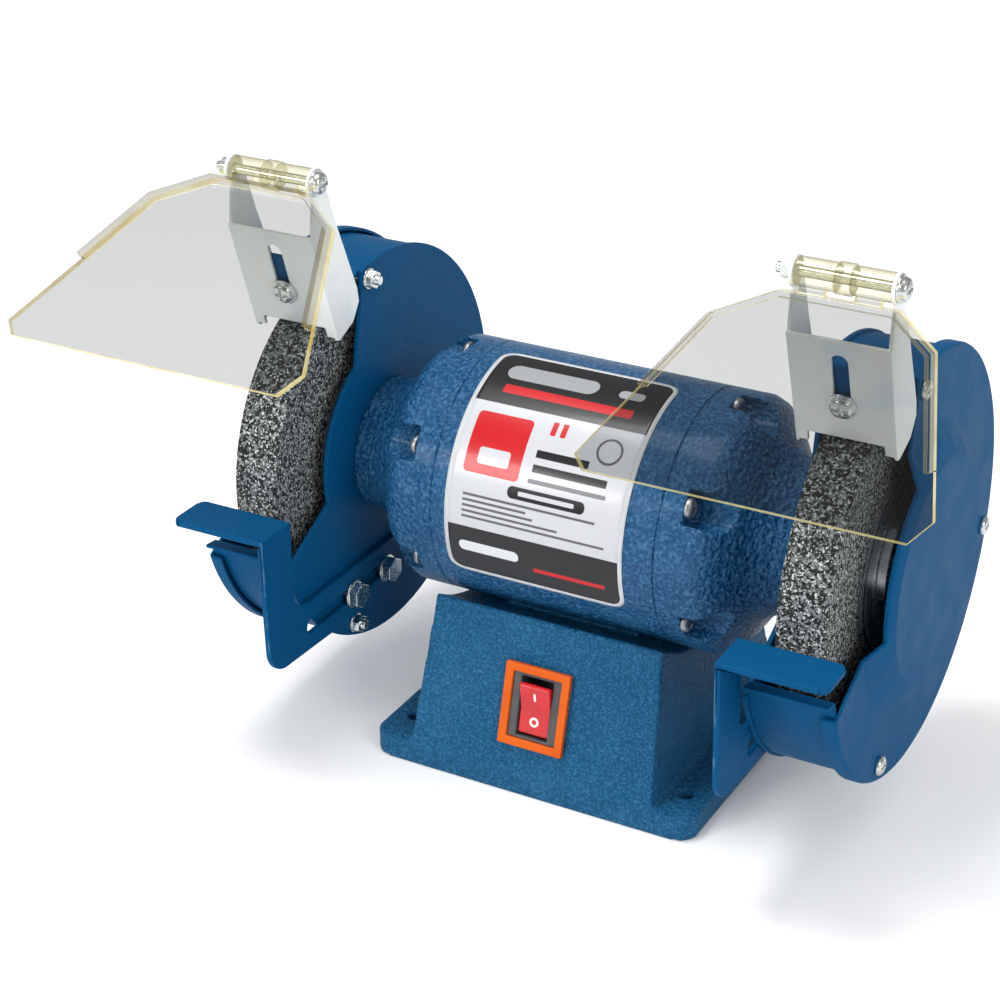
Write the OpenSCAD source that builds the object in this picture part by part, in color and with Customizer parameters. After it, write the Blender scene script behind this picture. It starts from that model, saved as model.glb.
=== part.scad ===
// Two-wheel bench grinder: an induction motor on a pedestal, with a guarded
// grinding wheel, a tool rest and a clear eye shield at each end of its shaft.
// Frame: +X along the shaft, -Y towards the operator, +Z up. The origin is the
// centre of the four base holes, on the face that rests on the bench.
// Pieces of the right end are drawn once and mirrored to the left end.

/* [Grinding wheels] */
// Wheel diameter
wheel_d = 150; // [140:1:155]
// Wheel width
wheel_w = 20; // [16:1:22]
// Distance between the two wheels' middle planes
wheel_spacing = 241; // [236:1:252]
// Radius of the paper label on each wheel side
blotter_r = 40.5; // [30:0.5:50]
// Clamping flange diameter
flange_d = 50; // [40:1:60]

/* [Motor] */
// Height of the shaft above the bench
shaft_h = 114; // [112:1:125]
// Motor shell diameter
motor_d = 107; // [104:1:112]
// Motor shell wall
shell_wall = 3; // [2:0.5:5]
// Length of the plain motor shell between its end bells
shell_len = 100; // [90:1:104]
// Diameter of the end bell's nose
nose_d = 58; // [54:1:62]
// Screws in each end bell
bell_screws = 6; // [3:1:6]
// Shaft diameter at the wheels
arbor_d = 12.7; // [12:0.1:14]
// Shaft diameter in the ball bearings
journal_d = 15; // [14.5:0.5:16]

/* [Base] */
// Base plate width
base_w = 149; // [140:1:170]
// Base plate depth
base_d = 128; // [120:1:150]
// Base plate thickness
base_t = 10.4; // [8:0.2:14]
// Width of the pedestal at its top
ped_top_w = 104; // [96:1:110]
// Depth of the pedestal at its top
ped_top_d = 91; // [80:1:96]
// How much wider the pedestal is at the plate, each side
ped_flare_x = 4.3; // [2:0.1:6]
// How much deeper the pedestal is at the plate, front and back
ped_flare_y = 16.9; // [10:0.1:18]
// How far the pedestal reaches up beside the motor
cradle_depth = 13.5; // [8:0.5:20]
// Casting wall
base_wall = 4; // [3:0.5:6]
// Distance between fixing holes, along the shaft
hole_dx = 128; // [122:1:140]
// Distance between fixing holes, front to back
hole_dy = 90; // [70:1:110]
// Fixing hole diameter
hole_d = 6.4; // [5:0.2:9]

/* [Guards] */
// Gap between the wheel's rim and the edge of the guard cover
guard_gap = 13; // [11:0.5:20]
// Sheet thickness of the guard band and cover
guard_t = 1.5; // [1:0.1:2]
// Thickness of the plate bolted to the motor
plate_t = 2; // [1.5:0.1:3]
// Gap between the wheel's motor side and the guard plate
wheel_gap = 7; // [6:0.5:9]
// Width of the guard band
band_w = 35; // [32:1:40]
// Radius of the round edge in the guard's front opening
mouth_r = 50; // [40:1:56]
// Distance of the cover screws from the cover's edge
cover_screw_in = 7.5; // [6:0.5:8]

/* [Tool rests] */
// Sheet thickness
rest_t = 2.5; // [2:0.1:3]
// Table length along the shaft
rest_w = 44; // [36:1:46]
// Table depth
rest_d = 21; // [16:1:30]
// Gap between the table and the wheel
rest_gap = 7; // [5.5:0.5:12]
// Height of the table above the shaft, negative is below
rest_z = -2; // [-6:1:2]
// Width of the adjusting slot
rest_slot_w = 6.6; // [6.4:0.1:8]

/* [Eye shields] */
// Gap between the wheel's rim and the bracket
spark_gap = 2.3; // [2:0.1:6]
// Bracket width
bracket_w = 40; // [34:1:41]
// Bracket sheet thickness
bracket_t = 1.5; // [1:0.1:2]
// Forward lean of the bracket, in degrees
bracket_lean = 18.4; // [14:0.2:22]
// Height of the hinge above the bracket screw, along the bracket
hinge_rise = 49; // [44:1:56]
// Diameter of the hinge barrel
barrel_d = 11; // [9:0.5:13]
// Thickness of the clear shield
shield_t = 3; // [2:0.5:4]
// Tilt of the left shield below level, in degrees
left_tilt = 49; // [40:1:70]
// Tilt of the right shield below level, in degrees
right_tilt = 75; // [60:1:76]

/* [Switch] */
// Bezel width
bezel_w = 29.5; // [26:0.5:34]
// Bezel height
bezel_h = 35.5; // [32:0.5:40]
// Height of the switch above the bench
switch_z = 38; // [34:1:42]
// Rocker travel, in degrees
rocker_throw = 22; // [14:1:24]

/* [Hidden] */
$fn = 96;

paint = [0.05, 0.30, 0.52];
zinc = [0.78, 0.80, 0.80];
steel = [0.62, 0.64, 0.66];
e = 0.05;                 // overlap that makes cuts run clean
seat = 0.05;              // clearance of pieces that seat in each other
run = 0.03;               // running clearance of the journals

// shaft line, measured from the middle plane outwards
motor_r = motor_d / 2;
bell_x0 = shell_len / 2;
wheel_x0 = wheel_spacing / 2 - wheel_w / 2;
wheel_x1 = wheel_x0 + wheel_w;
blotter_t = 0.5;
flange_t = 4;
flange_x0 = wheel_x0 - blotter_t - flange_t;
plate_x1 = wheel_x0 - wheel_gap;
plate_x0 = plate_x1 - plate_t;
nut_x0 = wheel_x1 + blotter_t + flange_t;
nut_h = 8;
nut_across = arbor_d + 6.3;
arbor_end = nut_x0 + nut_h + 1;
cover_x0 = plate_x1 + band_w;
cover_x1 = cover_x0 + guard_t;
dish_x1 = max(cover_x1 + 7.5, arbor_end + 2 + guard_t);
guard_mid = (plate_x0 + cover_x1) / 2;
guard_r = wheel_d / 2 + guard_gap;
cover_screw_r = guard_r - cover_screw_in;
band_ro = guard_r - guard_t - 1;
band_ri = band_ro - guard_t;

// bell and bearing
bearing_od = 35;
bearing_w = 11;
bearing_x1 = plate_x0 - 6.5;
bearing_x0 = bearing_x1 - bearing_w;
bell_wall = 4;
nose_r = nose_d / 2;
shoulder_x = bell_x0 + 16;
pocket_x = bell_x0 + 10;
pocket_r = 7.5;
pocket_c = motor_r - 3.5;
pocket_turn = 30;
screw_r = 2;
boss_r = 5;
boss_l = 8;
boss_c = motor_r - shell_wall - 2.5;

// base
ped_top_z = shaft_h - motor_r + cradle_depth;
ped_bot_w = ped_top_w + 2 * ped_flare_x;
ped_bot_d = ped_top_d + 2 * ped_flare_y;
wall_lean = atan(ped_flare_y / (ped_top_z - base_t));
wall_y = -ped_bot_d / 2 + (switch_z - base_t) * tan(wall_lean);
roof = base_wall + 1;
pad_w = 60;
pad_d = 44;
pad_up = 6;
cradle_r = (pow(ped_top_d / 2, 2) + pow(cradle_depth, 2)) / (2 * cradle_depth);
recess_t = 2.4;
cover_t = 1.6;

// front opening of the guard, as seen along the shaft: y back, z up
mouth = [[-16, guard_r + 30], [-18, guard_r - 11], [-26, 33], [-8, 0], [-38, -3.3], [10 - guard_r, -24],
    [-guard_r - 30, -45], [-guard_r - 30, guard_r + 30]];
cover_screw_at = [81, 193, 294];

// tool rest
leg_x1 = plate_x0 - 0.2;
leg_x0 = leg_x1 - rest_t;
rest_y1 = -wheel_d / 2 - rest_gap;
rest_y0 = rest_y1 - rest_d;
rest_bolt_z = 17.5 + ring_z(cover_screw_r, cover_screw_at[2]);
rest_bolt_y = [-38, -11];
slot_y = [-70, -7.2];

// bracket frame: x across, y back from the front plate, z up along the plate
bracket_out = guard_r + 5.73;
bracket_at = 61.03;
bracket_y = -bracket_out * cos(bracket_at);
bracket_z = bracket_out * sin(bracket_at);
bracket_top = 29.8;
bracket_toe = -23;
bracket_deep = bracket_y * cos(bracket_lean) + bracket_z * sin(bracket_lean) + bracket_t;
bracket_recess = sqrt(pow(wheel_d / 2 + spark_gap, 2) - pow(bracket_deep, 2))
    + bracket_y * sin(bracket_lean) - bracket_z * cos(bracket_lean);
bracket_slot = [-3.5, 20];
bracket_slot_w = 6.4;
hinge_back = 12;
ear_r = 6;
ear_gap = 0.3;
barrel_half = bracket_w / 2 - bracket_t - ear_gap;
collar_w = 6;
hinge_screw_d = 4;
tab_x = bracket_w / 2 - bracket_t - 3;

// outline of the clear shield: across, and down from the hinge
shield_top = 7;
shield_pts = [[-22, shield_top], [22, shield_top], [37.5, 19], [46.5, 78], [38, 88], [-90, 88],
    [-94, 82], [-47, 19.5]];
lip_path = [[-70, 50], [-47, 19.5], [-22, shield_top], [22, shield_top], [37.5, 19], [43.8, 60]];
lip_h = 5;
lip_t = 2.4;
lug_w = 10;
lug_x = (barrel_half + collar_w / 2) / 2;

// ---------- helpers ----------
module on_shaft(x) {
    translate([x, 0, shaft_h]) rotate([0, 90, 0]) children();
}

module tube_x(x0, x1, ro, ri) {
    on_shaft(x0) difference() {
        cylinder(r = ro, h = x1 - x0);
        translate([0, 0, -1]) cylinder(r = ri, h = x1 - x0 + 2);
    }
}

module rod_x(x0, x1, r, y = 0, z = 0) {
    translate([x0, y, shaft_h + z]) rotate([0, 90, 0]) cylinder(r = r, h = x1 - x0, $fn = 32);
}

module hex_x(x0, x1, across, y = 0, z = 0) {
    translate([x0, y, shaft_h + z]) rotate([0, 90, 0]) cylinder(d = across / cos(30), h = x1 - x0, $fn = 6);
}

module sheet_x(x0, t) {
    translate([x0, 0, shaft_h]) rotate([90, 0, 90]) linear_extrude(t) children();
}

// a ring of sheet about the shaft, from angle a0 to a1 measured up from the front
module arc_x(a0, a1) {
    translate([0, 0, shaft_h]) rotate([0, 90, 0]) rotate([0, 0, -(90 + a1)])
        rotate_extrude(angle = a1 - a0, $fn = 180) children();
}

function ring_y(r, a) = -r * cos(a);
function ring_z(r, a) = r * sin(a);

module sided(side) {
    if (side < 0) mirror([1, 0, 0]) children();
    else children();
}

module slot_x(x0, t, y0, y1, z, w) {
    translate([x0, y0, shaft_h + z - w / 2]) cube([t, y1 - y0, w]);
    for (y = [y0, y1]) rod_x(x0, x0 + t, w / 2, y, z);
}

module pedestal_block(w0, w1, d0, d1, z0, z1) {
    intersection() {
        translate([0, d0, 0]) rotate([90, 0, 0]) linear_extrude(2 * d0)
            polygon([[-w0 / 2, z0], [w0 / 2, z0], [w1 / 2, z1], [-w1 / 2, z1]]);
        translate([-w0, 0, 0]) rotate([90, 0, 90]) linear_extrude(2 * w0)
            polygon([[-d0 / 2, z0], [d0 / 2, z0], [d1 / 2, z1], [-d1 / 2, z1]]);
    }
}

// frame on the sloping front wall: x across, -y outwards, z up the wall
module on_wall() {
    translate([0, wall_y, switch_z]) rotate([-wall_lean, 0, 0]) children();
}

// frame on a bracket's front plate
module on_bracket(side) {
    translate([side * guard_mid, bracket_y, shaft_h + bracket_z]) rotate([bracket_lean, 0, 0]) children();
}

module on_hinge(side) {
    on_bracket(side) translate([0, hinge_back, hinge_rise]) rotate([-bracket_lean, 0, 0]) children();
}

// rounded screw head with a cross recess, standing on z = 0
module pan_head(r, h) {
    difference() {
        rotate_extrude($fn = 48) polygon([[0, 0], [r, 0], [r, 0.35 * h], [0.93 * r, 0.66 * h], [0.74 * r, 0.88 * h],
            [0.45 * r, h], [0, h]]);
        for (a = [0, 90]) rotate([0, 0, a]) translate([-0.62 * r, -0.11 * r, 0.5 * h]) cube([1.24 * r, 0.22 * r, h]);
    }
}

// ---------- base ----------
module plate_outline(w, d, r) {
    for (x = [-1, 1], y = [-1, 1]) translate([x * (w / 2 - r), y * (d / 2 - r)]) circle(r = r, $fn = 48);
    square([w - 2 * r, d], center = true);
    square([w, d - 2 * r], center = true);
}

module base_housing() {
    inner_w = ped_top_w - 2 * base_wall;
    inner_d = ped_top_d - 2 * base_wall;
    color(paint) difference() {
        union() {
            linear_extrude(base_t) plate_outline(base_w, base_d, 8);
            difference() {
                pedestal_block(ped_bot_w, ped_top_w, ped_bot_d, ped_top_d, base_t - e, ped_top_z);
                translate([-base_w, 0, shaft_h - motor_r + cradle_r])
                    rotate([0, 90, 0]) cylinder(r = cradle_r, h = 2 * base_w, $fn = 180);
            }
            translate([-pad_w / 2, -pad_d / 2, base_t]) cube([pad_w, pad_d, shaft_h - motor_r + pad_up - base_t]);
        }
        // seat for the motor
        on_shaft(-base_w) cylinder(r = motor_r, h = 2 * base_w, $fn = 180);
        // inside of the pedestal, open at the bottom
        translate([0, 0, -1]) linear_extrude(base_t + 1 + e)
            plate_outline(ped_bot_w - 2 * base_wall, ped_bot_d - 2 * base_wall, 4);
        difference() {
            pedestal_block(ped_bot_w - 2 * base_wall, inner_w, ped_bot_d - 2 * base_wall, inner_d, base_t, ped_top_z);
            translate([-base_w, 0, shaft_h - motor_r + cradle_r])
                rotate([0, 90, 0]) cylinder(r = cradle_r + roof, h = 2 * base_w, $fn = 180);
        }
        // recess of the bottom cover
        translate([0, 0, -1]) linear_extrude(recess_t + 1) plate_outline(bottom_w, bottom_d, 6);
        for (x = [-1, 1], y = [-1, 1]) {
            translate([x * hole_dx / 2, y * hole_dy / 2, -1]) cylinder(d = hole_d, h = base_t + 2, $fn = 48);
        }
        // holes of the motor bolts, switch and cable gland
        for (x = [-1, 1]) translate([x * motor_bolt_x, 0, base_t])
            cylinder(r = 3.2, h = shaft_h, $fn = 32);
        on_wall() translate([-switch_body_w / 2 - 0.3, -2, -switch_body_h / 2 - 0.3])
            cube([switch_body_w + 0.6, base_wall + 6, switch_body_h + 0.6]);
        translate([gland_x, ped_bot_d / 2, gland_z]) rotate([90, 0, 0])
            cylinder(r = gland_r + seat, h = 40, center = true, $fn = 48);
    }
    // corner posts that take the bottom cover's screws
    color(paint) for (x = [-1, 1], y = [-1, 1]) translate([x * bottom_screw_x, y * bottom_screw_y, recess_t]) difference() {
        cylinder(r = 4.5, h = post_h, $fn = 32);
        translate([0, 0, -1]) cylinder(r = 1.5 + seat, h = post_h - 1, $fn = 32);
    }
}
post_h = 13;
bottom_w = ped_bot_w + 2;
bottom_d = ped_bot_d - 3;
bottom_screw_x = ped_bot_w / 2 - 8;
bottom_screw_y = ped_bot_d / 2 - 13;
motor_bolt_x = 20;
gland_x = 30;
gland_z = 30;
gland_r = 7;
gland_bore = 4.2;

module bottom_cover() {
    color([0.45, 0.46, 0.48]) difference() {
        translate([0, 0, recess_t - cover_t]) linear_extrude(cover_t) plate_outline(bottom_w - 0.6, bottom_d - 0.6, 5.7);
        for (x = [-1, 1], y = [-1, 1]) translate([x * bottom_screw_x, y * bottom_screw_y, -1])
            cylinder(r = 1.7, h = 6, $fn = 32);
    }
}

module bottom_screws() {
    color(zinc) for (x = [-1, 1], y = [-1, 1]) translate([x * bottom_screw_x, y * bottom_screw_y, 0]) {
        cylinder(r = 1.5, h = 11, $fn = 32);
        translate([0, 0, 0.1]) cylinder(r = 3, h = recess_t - cover_t - 0.1, $fn = 32);
    }
}

// panel bush in the rear wall that a supply lead would pass through
module cable_gland() {
    gland_y = ped_bot_d / 2 - (gland_z - base_t) * tan(wall_lean);
    color([0.1, 0.1, 0.11]) translate([gland_x, gland_y, gland_z]) rotate([-90, 0, 0]) difference() {
        union() {
            translate([0, 0, -base_wall - 4]) cylinder(r = gland_r, h = base_wall + 7, $fn = 48);
            translate([0, 0, 2.8]) cylinder(d = 18, h = 4, $fn = 6);
            translate([0, 0, 6.7]) cylinder(r = 6.2, h = 6, $fn = 48);
        }
        translate([0, 0, -20]) cylinder(r = gland_bore, h = 40, $fn = 48);
    }
}

// ---------- switch ----------
switch_body_w = 22;
switch_body_h = 28;
switch_depth = 22;
rocker_w = 14;
rocker_h = 23;
rocker_r = 12.4;
rocker_pivot = 3.5;
bezel_t = 2.8;
pin_r = 1.5;

module switch_bezel() {
    color([0.90, 0.50, 0.10]) on_wall() difference() {
        translate([-bezel_w / 2, -bezel_t, -bezel_h / 2]) cube([bezel_w, bezel_t - e, bezel_h]);
        translate([-switch_body_w / 2 - 0.1, -bezel_t - 1, -switch_body_h / 2 - 0.1])
            cube([switch_body_w + 0.2, bezel_t + 2, switch_body_h + 0.2]);
    }
}

module switch_body() {
    color([0.22, 0.22, 0.24]) on_wall() difference() {
        translate([-switch_body_w / 2, -bezel_t + 1, -switch_body_h / 2])
            cube([switch_body_w, switch_depth, switch_body_h]);
        translate([-rocker_w / 2 - 0.3, -bezel_t, -rocker_r - 0.5]) cube([rocker_w + 0.6, 14, 2 * rocker_r + 1]);
        translate([0, rocker_pivot, 0]) rotate([0, 90, 0])
            cylinder(r = pin_r + seat, h = rocker_w + 4.4, center = true, $fn = 32);
    }
}

// rocker seen from the side: two faces that meet in a shallow vee
module rocker_side(tilt) {
    rotate([0, 0, tilt]) intersection() {
        circle(r = rocker_r, $fn = 64);
        polygon([[-6.4, -13], [-4.2, 0], [-6.4, 13], [4, 6], [4, -6]]);
    }
}

module switch_rocker() {
    color([0.85, 0.10, 0.12]) on_wall() translate([0, rocker_pivot, 0]) {
        translate([-rocker_w / 2, 0, 0]) rotate([90, 0, 90]) linear_extrude(rocker_w) rocker_side(rocker_throw / 2);
        rotate([0, 90, 0]) cylinder(r = pin_r, h = rocker_w + 4, center = true, $fn = 32);
    }
}

// ---------- inside the pedestal ----------
cap_r = 14;
module capacitor() {
    color([0.88, 0.88, 0.86]) translate([-44, 18, recess_t + cap_r]) rotate([0, 90, 0]) {
        cylinder(r = cap_r, h = 58, $fn = 48);
        translate([0, 0, 57]) cylinder(r = 9, h = 3, $fn = 48);
    }
}

module terminal_block() {
    color([0.93, 0.93, 0.90]) difference() {
        translate([20, -18, recess_t]) cube([26, 16, 12]);
        for (x = [25, 33, 41]) translate([x, -10, recess_t + 6]) cylinder(r = 2, h = 10, $fn = 32);
    }
}

// ---------- motor ----------
module motor_shell() {
    color(paint) difference() {
        union() {
            tube_x(-bell_x0, bell_x0, motor_r, motor_r - shell_wall);
            // tapped bosses that take the bell screws
            for (side = [-1, 1]) sided(side) intersection() {
                bell_place(boss_c) rod_x(bell_x0 - boss_l, bell_x0, boss_r);
                on_shaft(0) cylinder(r = motor_r, h = bell_x0, $fn = 144);
            }
        }
        for (side = [-1, 1]) sided(side) bell_place(pocket_c) rod_x(bell_x0 - boss_l - 1, bell_x0 + 1, screw_r + seat);
        for (x = [-1, 1]) translate([x * motor_bolt_x, 0, shaft_h - motor_r - 2])
            cylinder(r = 2.5, h = 10, $fn = 32);
    }
}

module motor_bolts() {
    color(zinc) for (x = [-1, 1]) translate([x * motor_bolt_x, 0, shaft_h - motor_r - roof]) {
        translate([0, 0, -1]) cylinder(r = 2.5 - seat, h = roof + shell_wall + 0.5, $fn = 32);
        translate([0, 0, -4]) cylinder(d = 8 / cos(30), h = 4, $fn = 6);
    }
}

bell_outer = [[0, bell_x0], [motor_r, bell_x0], [motor_r, shoulder_x], [motor_r - 1.6, shoulder_x + 4],
    [motor_r - 6, shoulder_x + 8.5], [nose_r + 7, shoulder_x + 16], [nose_r + 2, shoulder_x + 23],
    [nose_r, shoulder_x + 30], [nose_r, plate_x0], [0, plate_x0]];
bore_r = bearing_od / 2;
bell_inner = [[0, bell_x0 - 1], [motor_r - shell_wall - 3, bell_x0 - 1], [motor_r - shell_wall - 3, shoulder_x],
    [motor_r - 12, shoulder_x + 6], [bore_r + 4, bearing_x0 - 2], [bore_r + 4, bearing_x0],
    [bore_r, bearing_x0], [bore_r, bearing_x1], [journal_d / 2 + 1, bearing_x1], [journal_d / 2 + 1, plate_x0 + 1],
    [0, plate_x0 + 1]];

// the bell screws' places, at radius r about the shaft
module bell_place(r) {
    for (i = [0:bell_screws - 1]) {
        a = pocket_turn + i * 360 / bell_screws;
        translate([0, ring_y(r, a), ring_z(r, a)]) children();
    }
}

module end_bell(side) {
    color(paint) sided(side) difference() {
        intersection() {
            union() {
                difference() {
                    on_shaft(0) rotate_extrude($fn = 144) polygon(bell_outer);
                    on_shaft(0) rotate_extrude($fn = 144) polygon(bell_inner);
                }
                bell_place(pocket_c) rod_x(bell_x0, shoulder_x + 14, pocket_r + 2.2);
            }
            on_shaft(0) rotate_extrude($fn = 144) polygon(bell_outer);
        }
        bell_place(pocket_c) rod_x(pocket_x, plate_x0 + 5, pocket_r);
        bell_place(pocket_c) rod_x(bell_x0 - 1, plate_x0, screw_r + seat);
        for (a = guard_screw_at)
            rod_x(plate_x0 - 9, plate_x0 + 1, 2 + seat, ring_y(guard_screw_r, a), ring_z(guard_screw_r, a));
    }
    // spigot that centres the bell in the shell
    color(paint) sided(side) difference() {
        tube_x(bell_x0 - 4, bell_x0 + e, motor_r - shell_wall - seat, motor_r - shell_wall - 3);
        bell_place(boss_c) rod_x(bell_x0 - 5, bell_x0 + 1, boss_r + 0.3);
    }
}
guard_screw_at = [60, 180, 300];
guard_screw_r = 22.5;

module bell_screws() {
    color(zinc) for (side = [-1, 1]) sided(side) bell_place(pocket_c) {
        rod_x(bell_x0 - boss_l + 1, pocket_x + e, screw_r);
        translate([pocket_x, 0, shaft_h]) rotate([0, 90, 0]) pan_head(4.2, 3);
    }
}

core_l = 50;
coil_l = 16;
rotor_r = 27.5;
air_gap = 0.5;

module stator_core() {
    color(steel) difference() {
        tube_x(-core_l / 2, core_l / 2, motor_r - shell_wall - seat, rotor_r + air_gap);
        for (x = [-1, 1]) translate([x * motor_bolt_x, 0, shaft_h - motor_r]) cylinder(r = 3, h = 8, $fn = 32);
    }
}

module stator_windings() {
    color([0.72, 0.38, 0.16]) for (side = [-1, 1]) sided(side) on_shaft(core_l / 2)
        rotate_extrude($fn = 96) polygon([[coil_ri, 0], [coil_ro, 0], [coil_ro, coil_l - 5],
            [coil_ro - coil_round, coil_l], [coil_ri + coil_round, coil_l], [coil_ri, coil_l - 5]]);
}
coil_ri = rotor_r + 4;
coil_ro = motor_r - shell_wall - 6;
coil_round = min(3, (coil_ro - coil_ri) / 3);

shaft_body_r = journal_d / 2 + 1.5;
module rotor() {
    color(steel) {
        tube_x(-core_l / 2 - 1, core_l / 2 + 1, rotor_r, shaft_body_r + seat);
        for (side = [-1, 1]) sided(side) tube_x(core_l / 2 + 1 - e, core_l / 2 + 6, rotor_r - 2, rotor_r - 12);
    }
}

module shaft() {
    color(steel) on_shaft(0) rotate_extrude($fn = 96) polygon([
        [0, -arbor_end], [arbor_d / 2 - 1, -arbor_end], [arbor_d / 2, -arbor_end + 1], [arbor_d / 2, -flange_x0],
        [journal_d / 2, -flange_x0], [journal_d / 2, -bearing_x0 + 0.5], [shaft_body_r, -bearing_x0 + 0.5],
        [shaft_body_r, bearing_x0 - 0.5], [journal_d / 2, bearing_x0 - 0.5], [journal_d / 2, flange_x0],
        [arbor_d / 2, flange_x0], [arbor_d / 2, arbor_end - 1], [arbor_d / 2 - 1, arbor_end], [0, arbor_end]]);
}

module bearing(side) {
    color(zinc) sided(side) difference() {
        tube_x(bearing_x0 + seat, bearing_x1 - seat, bore_r - seat / 2, journal_d / 2 + run);
        for (x = [bearing_x0 - 1, bearing_x1 - 1.2]) tube_x(x, x + 2.2, bore_r - 3, journal_d / 2 + 3);
    }
}

label_x = [-43, 37];
label_a = [-26, 90];
module front_label() {
    color([0.85, 0.86, 0.87]) translate([label_x[0], 0, 0]) arc_x(label_a[0], label_a[1])
        translate([motor_r, 0]) square([0.35, label_x[1] - label_x[0]]);
}

// ---------- wheels ----------
module wheel(side) {
    color([0.42, 0.42, 0.41]) sided(side) tube_x(wheel_x0, wheel_x1, wheel_d / 2, arbor_d / 2 + seat);
}

module blotters(side) {
    color([0.80, 0.83, 0.86]) sided(side) for (x = [wheel_x0 - blotter_t, wheel_x1])
        tube_x(x, x + blotter_t, blotter_r, arbor_d / 2 + seat);
}

module clamp_flange(x0, out) {
    dish = 1.2;
    difference() {
        tube_x(x0, x0 + flange_t, flange_d / 2, arbor_d / 2 + seat);
        tube_x(out ? x0 - 1 : x0 + flange_t - dish, out ? x0 + dish : x0 + flange_t + 1,
            flange_d / 2 - 6, arbor_d / 2 + seat + 3);
    }
}

module inner_flange(side) {
    color(steel) sided(side) clamp_flange(flange_x0, false);
}

module outer_flange(side) {
    color(steel) sided(side) clamp_flange(wheel_x1 + blotter_t, true);
}

module arbor_nut(side) {
    color(zinc) sided(side) difference() {
        intersection() {
            hex_x(nut_x0, nut_x0 + nut_h, nut_across);
            on_shaft(nut_x0) cylinder(r1 = nut_across * 0.61, r2 = nut_across * 0.55, h = nut_h, $fn = 64);
        }
        on_shaft(nut_x0 - 1) cylinder(r = arbor_d / 2 + seat, h = nut_h + 2, $fn = 64);
    }
}

// ---------- guards ----------
module mouth_cut(x0, x1) {
    difference() {
        sheet_x(x0, x1 - x0) polygon(mouth);
        on_shaft(x0 - 1) cylinder(r = mouth_r, h = x1 - x0 + 2, $fn = 120);
    }
}

module guard_plate(side) {
    color(paint) sided(side) difference() {
        on_shaft(plate_x0) cylinder(r = guard_r - guard_t, h = plate_t, $fn = 180);
        mouth_cut(plate_x0 - 1, plate_x1 + 1);
        on_shaft(plate_x0 - 1) cylinder(r = 12, h = plate_t + 2, $fn = 64);
        for (a = guard_screw_at) rod_x(plate_x0 - 1, plate_x1 + 1, 2.3, ring_y(guard_screw_r, a), ring_z(guard_screw_r, a));
        for (a = cover_screw_at)
            rod_x(plate_x0 - 1, plate_x1 + 1, 2.2, ring_y(cover_screw_r, a), ring_z(cover_screw_r, a));
        for (y = rest_bolt_y) rod_x(plate_x0 - 1, plate_x1 + 1, 3.2, y, rest_bolt_z);
    }
}

// curved strip round the wheel, with a lip at the bottom front and a flat tab
// at the top front that carries the shield bracket
tab_y = bracket_t + 0.1;
tab_off = bracket_y * cos(bracket_lean) + bracket_z * sin(bracket_lean) + tab_y + guard_t / 2;
band_a0 = acos(-tab_off / (band_ri + guard_t / 2)) - bracket_lean;
band_a1 = 346;
band_notch = bracket_w / 2 - bracket_t - 0.5;
module guard_band(side) {
    color(paint) {
        difference() {
            sided(side) arc_x(band_a0, band_a1) translate([band_ri, plate_x1]) square([guard_t, band_w]);
            // room for the bracket's flanges where they are closer together than the band is wide
            for (s = [-1, 1]) on_bracket(side) translate([s * (band_notch + 5) - 5, -1, bracket_toe - 1])
                cube([10, 24, 40]);
        }
        sided(side) {
            translate([plate_x1 + 0.5, ring_y(band_ri, band_a1), shaft_h + ring_z(band_ri, band_a1)])
                rotate([band_a1 - 352, 0, 0]) translate([0, -6, 0.5 - guard_t]) cube([band_w - 1, 6.8, guard_t]);
        }
        on_bracket(side) difference() {
            translate([-tab_x, tab_y, -10.2]) cube([2 * tab_x, guard_t, 26.7]);
            rotate([90, 0, 0]) cylinder(r = 2.7, h = 20, center = true, $fn = 32);
        }
    }
}

cover_profile = [[0, dish_x1], [46, dish_x1], [60, cover_x1], [guard_r - 1.6, cover_x1], [guard_r - 0.5, cover_x1 - 0.5],
    [guard_r, cover_x1 - 1.6], [guard_r, cover_x0 - 5], [guard_r - guard_t, cover_x0 - 5],
    [guard_r - guard_t, cover_x0], [59.4, cover_x0], [45.4, dish_x1 - guard_t], [0, dish_x1 - guard_t]];
module guard_cover(side) {
    color(paint) sided(side) difference() {
        on_shaft(0) rotate_extrude($fn = 180) polygon(cover_profile);
        mouth_cut(cover_x0 - 8, dish_x1 + 1);
        for (a = cover_screw_at)
            rod_x(cover_x0 - 1, cover_x1 + 1, 2.2, ring_y(cover_screw_r, a), ring_z(cover_screw_r, a));
    }
}

// long screws through the drum: head outside the cover, washer and nut on the motor side
module cover_screws(side) {
    color(zinc) sided(side) for (a = cover_screw_at) {
        y = ring_y(cover_screw_r, a);
        z = ring_z(cover_screw_r, a);
        rod_x(plate_x0 - 6, cover_x1 + e, 2, y, z);
        translate([cover_x1, y, shaft_h + z]) rotate([0, 90, 0]) pan_head(4, 2.6);
        rod_x(plate_x0 - 0.8, plate_x0, 4.5, y, z);
        hex_x(plate_x0 - 4, plate_x0 - 0.8, 7, y, z);
    }
}

module guard_screws(side) {
    color(zinc) sided(side) for (a = guard_screw_at) {
        rod_x(plate_x0 - 8, plate_x1 + e, 2, ring_y(guard_screw_r, a), ring_z(guard_screw_r, a));
        translate([plate_x1, ring_y(guard_screw_r, a), shaft_h + ring_z(guard_screw_r, a)])
            rotate([0, 90, 0]) pan_head(4, 2);
    }
}

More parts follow.
